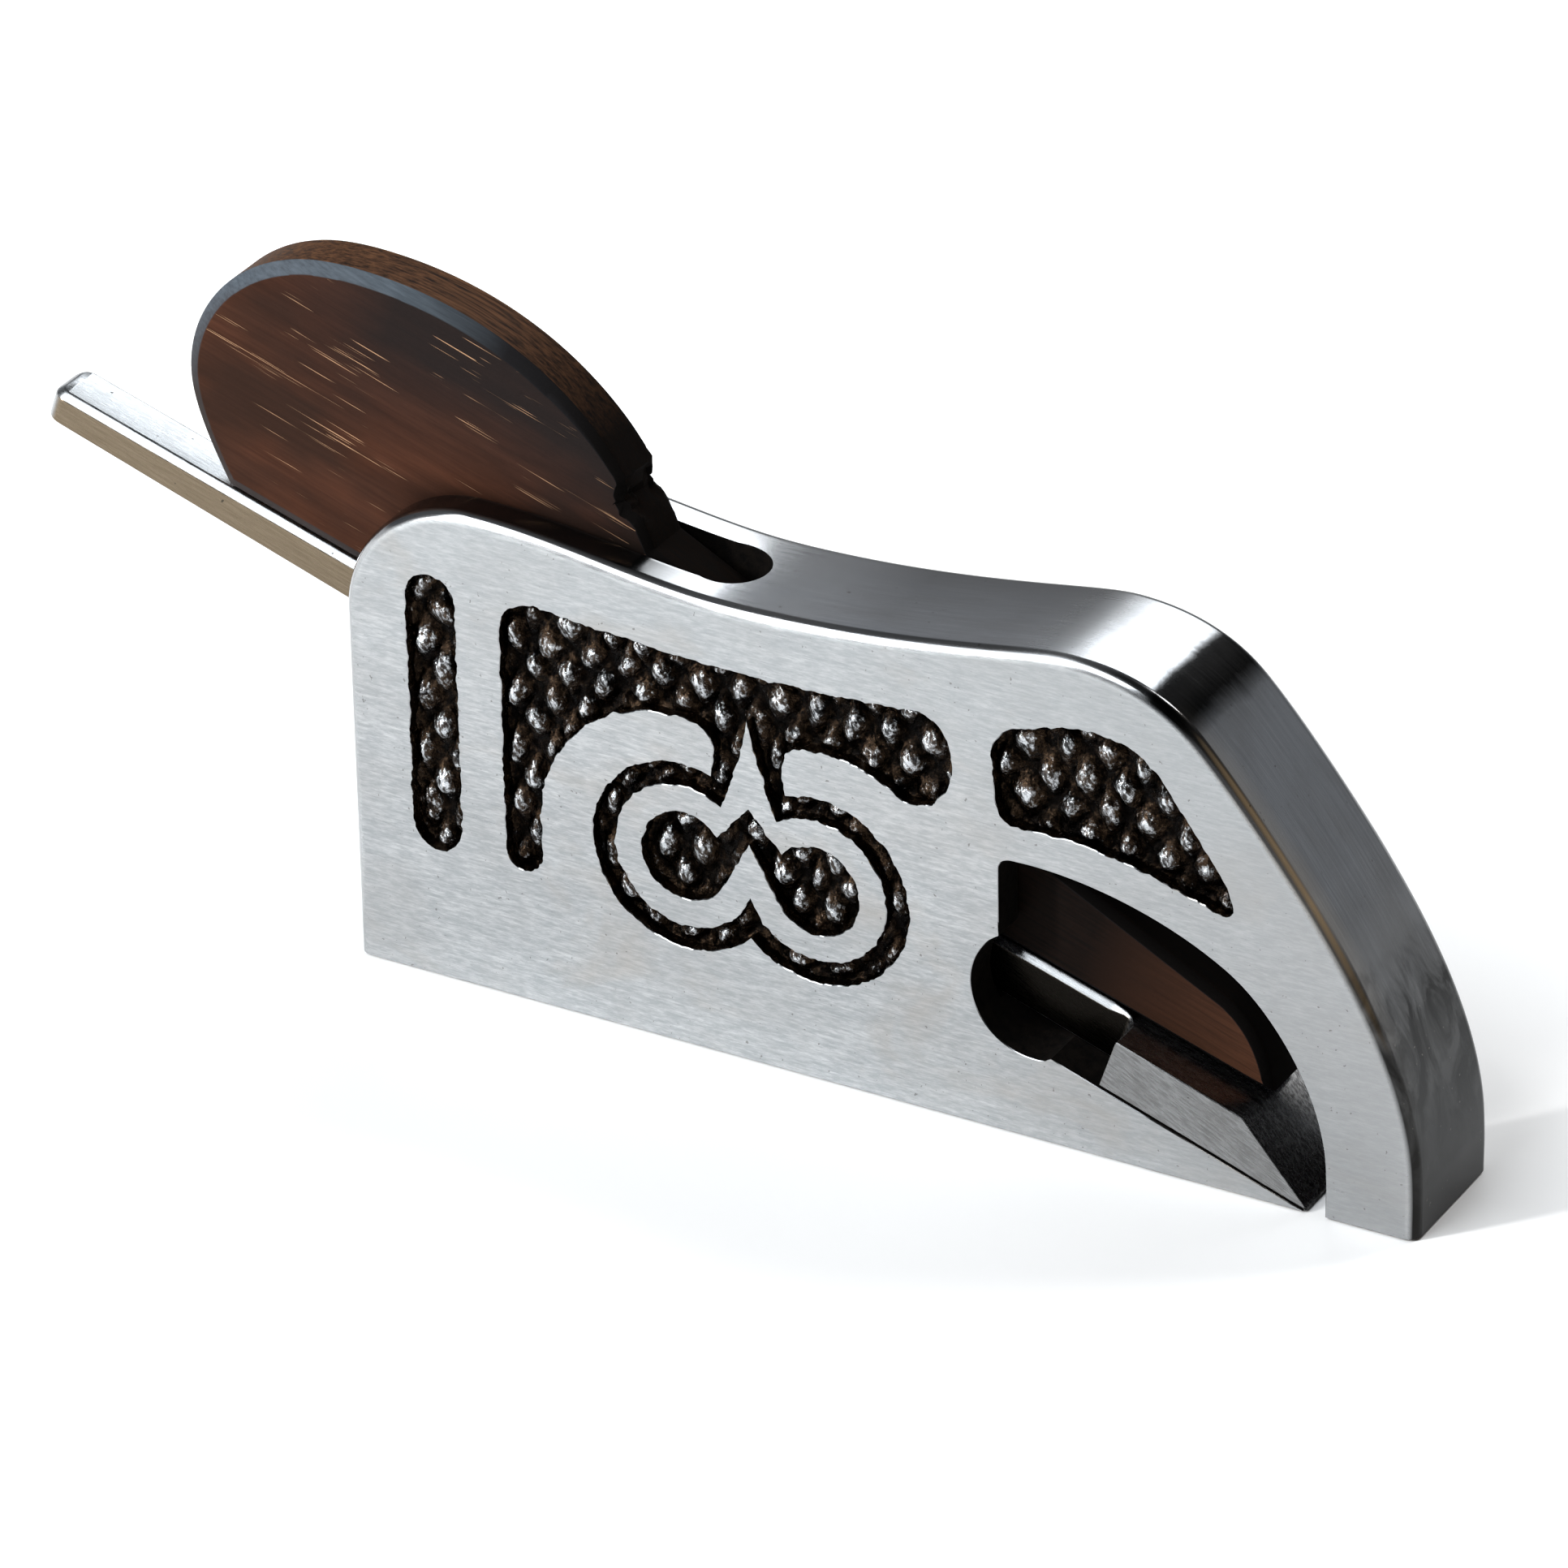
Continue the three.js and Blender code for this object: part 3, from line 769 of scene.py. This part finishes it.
angles = [2 * math.pi * k / SLOT_ROUND_STEPS for k in range(SLOT_ROUND_STEPS)]
round_end = [Vector((slot_end + half_mortise * math.cos(a), half_mortise * math.sin(a))) for a in angles]
flare_low, flare_high, flare_growth = SLOT_FLARE
levels = [(roof_at(slot_end) - SLOT_ROUND_DEPTH, 0), (flare_low, 0), (flare_high, flare_growth)]
verts, faces = prism([round_end], levels)
upright = [(x, y, z) for x, z, y in verts]
cut(body, new_object("slot_end_cut", upright, faces, (CASTING_AND_SHADE,), unit=1))

# The ring-shaped island stands in the band's recess; every other outline is a recess of its own.
band = ornament_loops[0]
island = next(loop for loop in ornament_loops if area(loop) > 0)
recesses = [[band, island]] + [[loop] for loop in ornament_loops if loop is not band and loop is not island]
for side in (-1, 1):
    face = side * HALF_WIDTH
    sunk = [(face + side * OVERCUT, RIM + OVERCUT), (face - side * RIM, 0), (face - side * SUNK_DEPTH, 0)]
    for k, loops in enumerate(recesses):
        cut(body, flared(f"recess_cut_{k}", loops, sunk, ENAMEL))
body.data.transform(Matrix.Scale(MM, 4))
finish_shading(body)
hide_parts("body")
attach(body, "stock")


# ---------------------------------------------------------------- enamel floors

KNOB_PITCH = (3.4, 5.0)     # across and up
KNOB_HEIGHT = 1.15
KNOB_SHARPNESS = 0.8        # power of the cosines
KNOB_VARIATION = 0.4        # of the height, from knob to knob
KNOB_DRIFT = 0.8            # sideways, so that the rows aren't straight
KNOB_ROUNDING = 0.25        # the highest knobs level off this far above the height, short of the side
LEAST_HEIGHT = 0.02
WALL_SHARE = 0.25           # share of a knob's height that is left beside a wall
WALL_REACH = 0.9            # distance over which that share grows
POOL_HEIGHT = 0.3           # enamel drawn up the walls
POOL_REACH = 0.3
GRID = 0.26
GRID_ROW = GRID * 0.87
GRID_CLEARANCE = 0.14       # between the grid's points and the walls
WALL_OVERLAP = 0.02         # of the enamel into the walls
ENAMEL_BACK = 0.25          # of the enamel below the recess floor


def knob_height(x, z, wall):
    """Height of the enamel above the recess floor, at a distance from the nearest wall."""
    drift_x = KNOB_DRIFT * noise.noise(Vector((x * 0.22, z * 0.22, 2.0)))
    drift_z = KNOB_DRIFT * noise.noise(Vector((x * 0.22, z * 0.22, 6.0)))
    p, q = (x + drift_x) / KNOB_PITCH[0], (z + drift_z) / KNOB_PITCH[1]
    knob = KNOB_HEIGHT * abs(math.cos(math.pi * (p + q)) * math.cos(math.pi * (p - q))) ** KNOB_SHARPNESS
    knob *= 1 + KNOB_VARIATION * noise.noise(Vector((x * 0.5, z * 0.5, 9.0)))
    lump = 0.18 * noise.noise(Vector((x * 1.1, z * 0.9, 4.0)))
    lump += 0.09 * noise.noise(Vector((x * 2.6, z * 2.6, 5.0)))
    pool = POOL_HEIGHT * math.exp(-(wall / POOL_REACH) ** 2)
    height = max(LEAST_HEIGHT, knob * min(1.0, WALL_SHARE + wall / WALL_REACH) + lump + pool)
    over = max(0.0, height - KNOB_HEIGHT)
    return height - over + KNOB_ROUNDING * (1 - math.exp(-over / KNOB_ROUNDING))


def enamel_floor():
    """The painted floors of one side: (verts, faces) with y = 0 at the recess floor, rising to -y."""
    verts, faces = [], []
    for loops in recesses:
        grown = [offset(loop, WALL_OVERLAP if k == 0 else -WALL_OVERLAP) for k, loop in enumerate(loops)]
        rim = [p for loop in loops for p in loop]
        tree = kdtree.KDTree(len(rim))
        for i, p in enumerate(rim):
            tree.insert((p.x, p.y, 0), i)
        tree.balance()
        xs, zs = [p.x for p in rim], [p.y for p in rim]
        extra = []
        for row in range(int((max(zs) - min(zs)) / GRID_ROW) + 1):
            z = min(zs) + row * GRID_ROW
            for column in range(int((max(xs) - min(xs)) / GRID) + 1):
                p = Vector((min(xs) + (column + row % 2 / 2) * GRID, z))
                if tree.find((p.x, p.y, 0))[2] > GRID_CLEARANCE:
                    extra.append(p)
        extra = [p for p, hit in zip(extra, inside_all(extra, loops)) if hit]
        flat, triangles = triangulate(grown, extra)
        first = len(verts)
        count = len(flat)
        on_edge = sum(len(loop) for loop in grown)
        for i, p in enumerate(flat):
            wall = 0.0 if i < on_edge else tree.find((p.x, p.y, 0))[2]
            verts.append((p.x, -knob_height(p.x, p.y, wall), p.y))
        verts += [(p.x, ENAMEL_BACK, p.y) for p in flat[:on_edge]]
        back_triangles = triangulate(grown)[1]
        faces += [tuple(first + i for i in tri) for tri in triangles]
        faces += [tuple(first + count + i for i in reversed(tri)) for tri in back_triangles]
        start = 0
        for loop in grown:
            n = len(loop)
            for i in range(n):
                a, b = start + i, start + (i + 1) % n
                faces.append((first + a, first + b, first + count + b, first + count + a))
            start += n
    return verts, faces


floor_verts, floor_faces = enamel_floor()
for name, side in (("enamel_near", -1), ("enamel_far", 1)):
    placed = [(x, side * (HALF_WIDTH - SUNK_DEPTH - y), z) for x, y, z in floor_verts]
    enamel = new_object(name, placed, floor_faces, (ENAMEL,))
    finish_shading(enamel, 75)
    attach(enamel, "stock")


# ---------------------------------------------------------------- blade

BLADE_LENGTH = 122.4
HEAD_LENGTH = 19.0
HEAD_WIDTH = 12.5
HEAD_THICKNESS = 4.6
TAIL_THICKNESS = 2.9
TANG_WIDTH = 5.0
TANG_CHAMFER = 0.6
CHAMFER_RUN = 2.5           # over which the chamfer grows behind the shoulder
CHAMFER_SOFTNESS = 0.12
SHOULDER_FILLET = 1.2
FILLET_END = 2.6            # behind the shoulder
TAIL_CORNER = 1.4
GRIND = math.radians(31.7)
BEVEL_LENGTH = HEAD_THICKNESS / math.tan(GRIND)
HONED_STRIP = 0.35
EDGE_BREAK = 0.1
EDGE_HEIGHT = 0.05
EDGE = (BED_FOOT + (BED_GAP / math.cos(BED) - EDGE_HEIGHT) / math.tan(BED), EDGE_HEIGHT)


def place_blade(u, y, w):
    """From the blade's own frame: u up the bed from the cutting edge, w through its thickness."""
    x = EDGE[0] - u * math.cos(BED) + w * math.sin(BED)
    z = EDGE[1] + u * math.sin(BED) + w * math.cos(BED)
    return x, y, z


def quarter(centre, radius, start, steps=8):
    """Points of a quarter circle from an angle in degrees, clockwise if the radius is negative."""
    way = 1 if radius > 0 else -1
    angles = [math.radians(start + way * 90 * k / steps) for k in range(steps + 1)]
    return [Vector((centre[0] + abs(radius) * math.cos(a), centre[1] + abs(radius) * math.sin(a)))
            for a in angles]


def blade_top(u):
    """Thickness of the blade: a honed strip, the ground bevel, the head, the tapered tang."""
    if u < HONED_STRIP:
        return u
    if u < BEVEL_LENGTH:
        return HONED_STRIP + (u - HONED_STRIP) * (HEAD_THICKNESS - HONED_STRIP) / (BEVEL_LENGTH - HONED_STRIP)
    taper = (HEAD_THICKNESS - TAIL_THICKNESS) / (BLADE_LENGTH - HEAD_LENGTH)
    return HEAD_THICKNESS - max(0.0, u - HEAD_LENGTH) * taper


def blade_object():
    """Rings of the T-shaped plan stacked through the thickness, closed by strips across the faces."""
    half, head = TANG_WIDTH / 2, HEAD_WIDTH / 2
    plan = [Vector((u, -head)) for u in (0, HONED_STRIP, BEVEL_LENGTH, HEAD_LENGTH)]
    shoulder = len(plan) - 1
    plan += quarter((HEAD_LENGTH + SHOULDER_FILLET, -half - SHOULDER_FILLET), -SHOULDER_FILLET, 180)
    plan += [Vector((HEAD_LENGTH + FILLET_END, -half))]
    plan += quarter((BLADE_LENGTH - TAIL_CORNER, -half + TAIL_CORNER), TAIL_CORNER, -90)
    count = len(plan)
    plan += [Vector((p.x, -p.y)) for p in reversed(plan)]
    soft = CHAMFER_SOFTNESS

    def chamfer(u):
        grown = max(0.0, min(1.0, (u - HEAD_LENGTH) / CHAMFER_RUN))
        return EDGE_BREAK + (TANG_CHAMFER - EDGE_BREAK) * grown

    rings = [
        lambda u: (1.5 * EDGE_BREAK, -blade_top(u)),
        lambda u: (0.0, 1.5 * EDGE_BREAK - blade_top(u)),
        lambda u: (0.0, -chamfer(u) - soft),
        lambda u: (soft * 0.7, -chamfer(u) + soft * 0.7),
        lambda u: (chamfer(u) - soft * 0.7, -soft * 0.7),
        lambda u: (chamfer(u) + soft, 0.0),
    ]
    verts, faces = [], []
    for ring in rings:
        for p, n in zip(plan, normals(plan, closed=False)):
            inset, drop = ring(p.x)
            inset *= min(1.0, p.x)
            u, y = p.x - n.x * inset, p.y - n.y * inset
            verts.append(place_blade(u, y, max(0.0, blade_top(u) + drop)))
    total = len(plan)
    for k in range(len(rings) - 1):
        start = k * total
        faces += [(start + i, start + i + 1, start + total + i + 1, start + total + i)
                  for i in range(total - 1)]
    for k in (0, len(rings) - 1):
        strip = lambda *indices: tuple(k * total + i for i in indices) + tuple(
            k * total + total - 1 - i for i in reversed(indices))
        faces += [strip(i, i + 1) for i in range(shoulder - 1)]
        faces.append(strip(shoulder - 1, shoulder, shoulder + 1))
        faces += [strip(i, i + 1) for i in range(shoulder + 1, count - 1)]
    return new_object("plane_blade", verts, faces, (BLADE_STEEL,))


blade = blade_object()
finish_shading(blade, 40)
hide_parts("blade")
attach(blade, "blade")


# ---------------------------------------------------------------- wedge

WEDGE_STEP = 0.4
WEDGE_CHAMFER = 0.7
HEAD_CHAMFER = 1.2          # on the faces of the head
HEAD_END = -38.0            # along the wedge
HEAD_FADE = 8               # length over which the head's chamfer grows from its end
NOTCH = (-23.4, 44.8)
NOTCH_REACH = (1.6, 2.2)    # of the chipping round it


def wedge_object():
    """The wedge in chamfered layers, wider at the head; the step at the front of the head is chipped."""
    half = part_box("wedge")[1].y / MM
    outline = smooth(planar_loops("wedge", -half)[0], step=WEDGE_STEP)
    c = WEDGE_CHAMFER
    # Depth from a face, and growth of the outline there; then how far the head's rows are drawn in
    profile = [(0, 0), (0.05, 0.14), (c - 0.1, c - 0.04), (c, c), (1.15, c), (1.6, c), (2.05, c)]
    insets = [HEAD_CHAMFER - c, 0.8 * (HEAD_CHAMFER - c), 0.05]
    levels = [(-half + depth, growth) for depth, growth in profile]
    levels += [(-y, growth) for y, growth in reversed(levels)]
    verts, faces = prism([outline], levels)
    outward = [n if area(outline) > 0 else -n for n in normals(outline)]
    shaped = []
    for index, (x, y, z) in enumerate(verts):
        row, i = divmod(index, len(outline))
        row = min(row, len(levels) - 1 - row)
        along = x * math.cos(BED) - z * math.sin(BED)
        on_head = max(0.0, min(1.0, (HEAD_END - along) / HEAD_FADE))
        inset = insets[row] * on_head if row < len(insets) else 0.0
        near = math.exp(-(((x - NOTCH[0]) / NOTCH_REACH[0]) ** 2 + ((z - NOTCH[1]) / NOTCH_REACH[1]) ** 2))
        push = [near * (0.5 * noise.noise(Vector((x, y, z)) * 1.1 + Vector((0, 0, 20 * k)))
                        + 0.3 * noise.noise(Vector((x, y, z)) * 2.6 + Vector((0, 5, 20 * k))))
                for k in (1, 2)]
        shaped.append((x + push[0] - outward[i].x * inset, y, z + push[1] - outward[i].y * inset))
    return new_object("plane_wedge", shaped, faces, (ROSEWOOD,))


wedge = wedge_object()
finish_shading(wedge, 30)
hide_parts("wedge")
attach(wedge, "wedge")


# ---------------------------------------------------------------- floor, light, camera

def area_light(name, place, target, size, power, colour=(1, 1, 1)):
    """A rectangular light at a place, in metres, that faces a target."""
    light = bpy.data.lights.new(name, "AREA")
    light.shape = "RECTANGLE"
    light.size, light.size_y = size
    light.energy = power
    light.color = colour
    obj = bpy.data.objects.new(name, light)
    obj.location = place
    obj.rotation_euler = (Vector(target) - Vector(place)).to_track_quat("-Z", "Y").to_euler()
    bpy.context.scene.collection.objects.link(obj)


FLOOR_HALF = 6
FLOOR_Z = -0.0002
floor_corners = [(x * FLOOR_HALF, y * FLOOR_HALF, FLOOR_Z) for x, y in ((-1, -1), (1, -1), (1, 1), (-1, 1))]
floor_mesh = bpy.data.meshes.new("floor")
floor_mesh.from_pydata(floor_corners, [], [(0, 1, 2, 3)])
floor_mesh.materials.append(studio_floor())
floor = bpy.data.objects.new("floor", floor_mesh)
bpy.context.scene.collection.objects.link(floor)

bpy.context.scene.world = studio_world()
bpy.context.scene.view_settings.view_transform = "Standard"

COOL = (0.93, 0.97, 1.0)
area_light("front_softbox", (-0.36, -0.62, 0.84), (0, 0, 0.02), (0.8, 0.6), 9.0, COOL)
area_light("back_softbox", (-0.2, 0.92, 0.74), (0, 0, 0.03), (0.62, 0.22), 2.4, COOL)
area_light("strip", (-0.72, -0.84, 0.52), (0, 0, 0.02), (0.1, 0.45), 14)
area_light("background_light", (0.55, 1.0, 1.4), (0.1, 0.5, 0), (0.35, 0.35), 14)

LOOK_AT = Vector((-0.0112, 0, 0.0218))
DISTANCE = 0.7652
FOCAL_LENGTH, SENSOR_WIDTH = 223.6, 36
AZIMUTH, ELEVATION, ROLL = (math.radians(a) for a in (29.98, 29.34, -1.163))
back = Vector((math.sin(AZIMUTH) * math.cos(ELEVATION), -math.cos(AZIMUTH) * math.cos(ELEVATION),
               math.sin(ELEVATION)))
level_right = Vector((math.cos(AZIMUTH), math.sin(AZIMUTH), 0))
level_up = back.cross(level_right)
right = level_right * math.cos(ROLL) + level_up * math.sin(ROLL)
up = level_up * math.cos(ROLL) - level_right * math.sin(ROLL)
camera_data = bpy.data.cameras.new("camera")
camera_data.lens = FOCAL_LENGTH
camera_data.sensor_width = SENSOR_WIDTH
camera = bpy.data.objects.new("camera", camera_data)
facing_turn = Matrix((right, up, back)).transposed().to_4x4()
camera.matrix_world = Matrix.Translation(LOOK_AT + back * DISTANCE) @ facing_turn
bpy.context.scene.collection.objects.link(camera)
bpy.context.scene.camera = camera
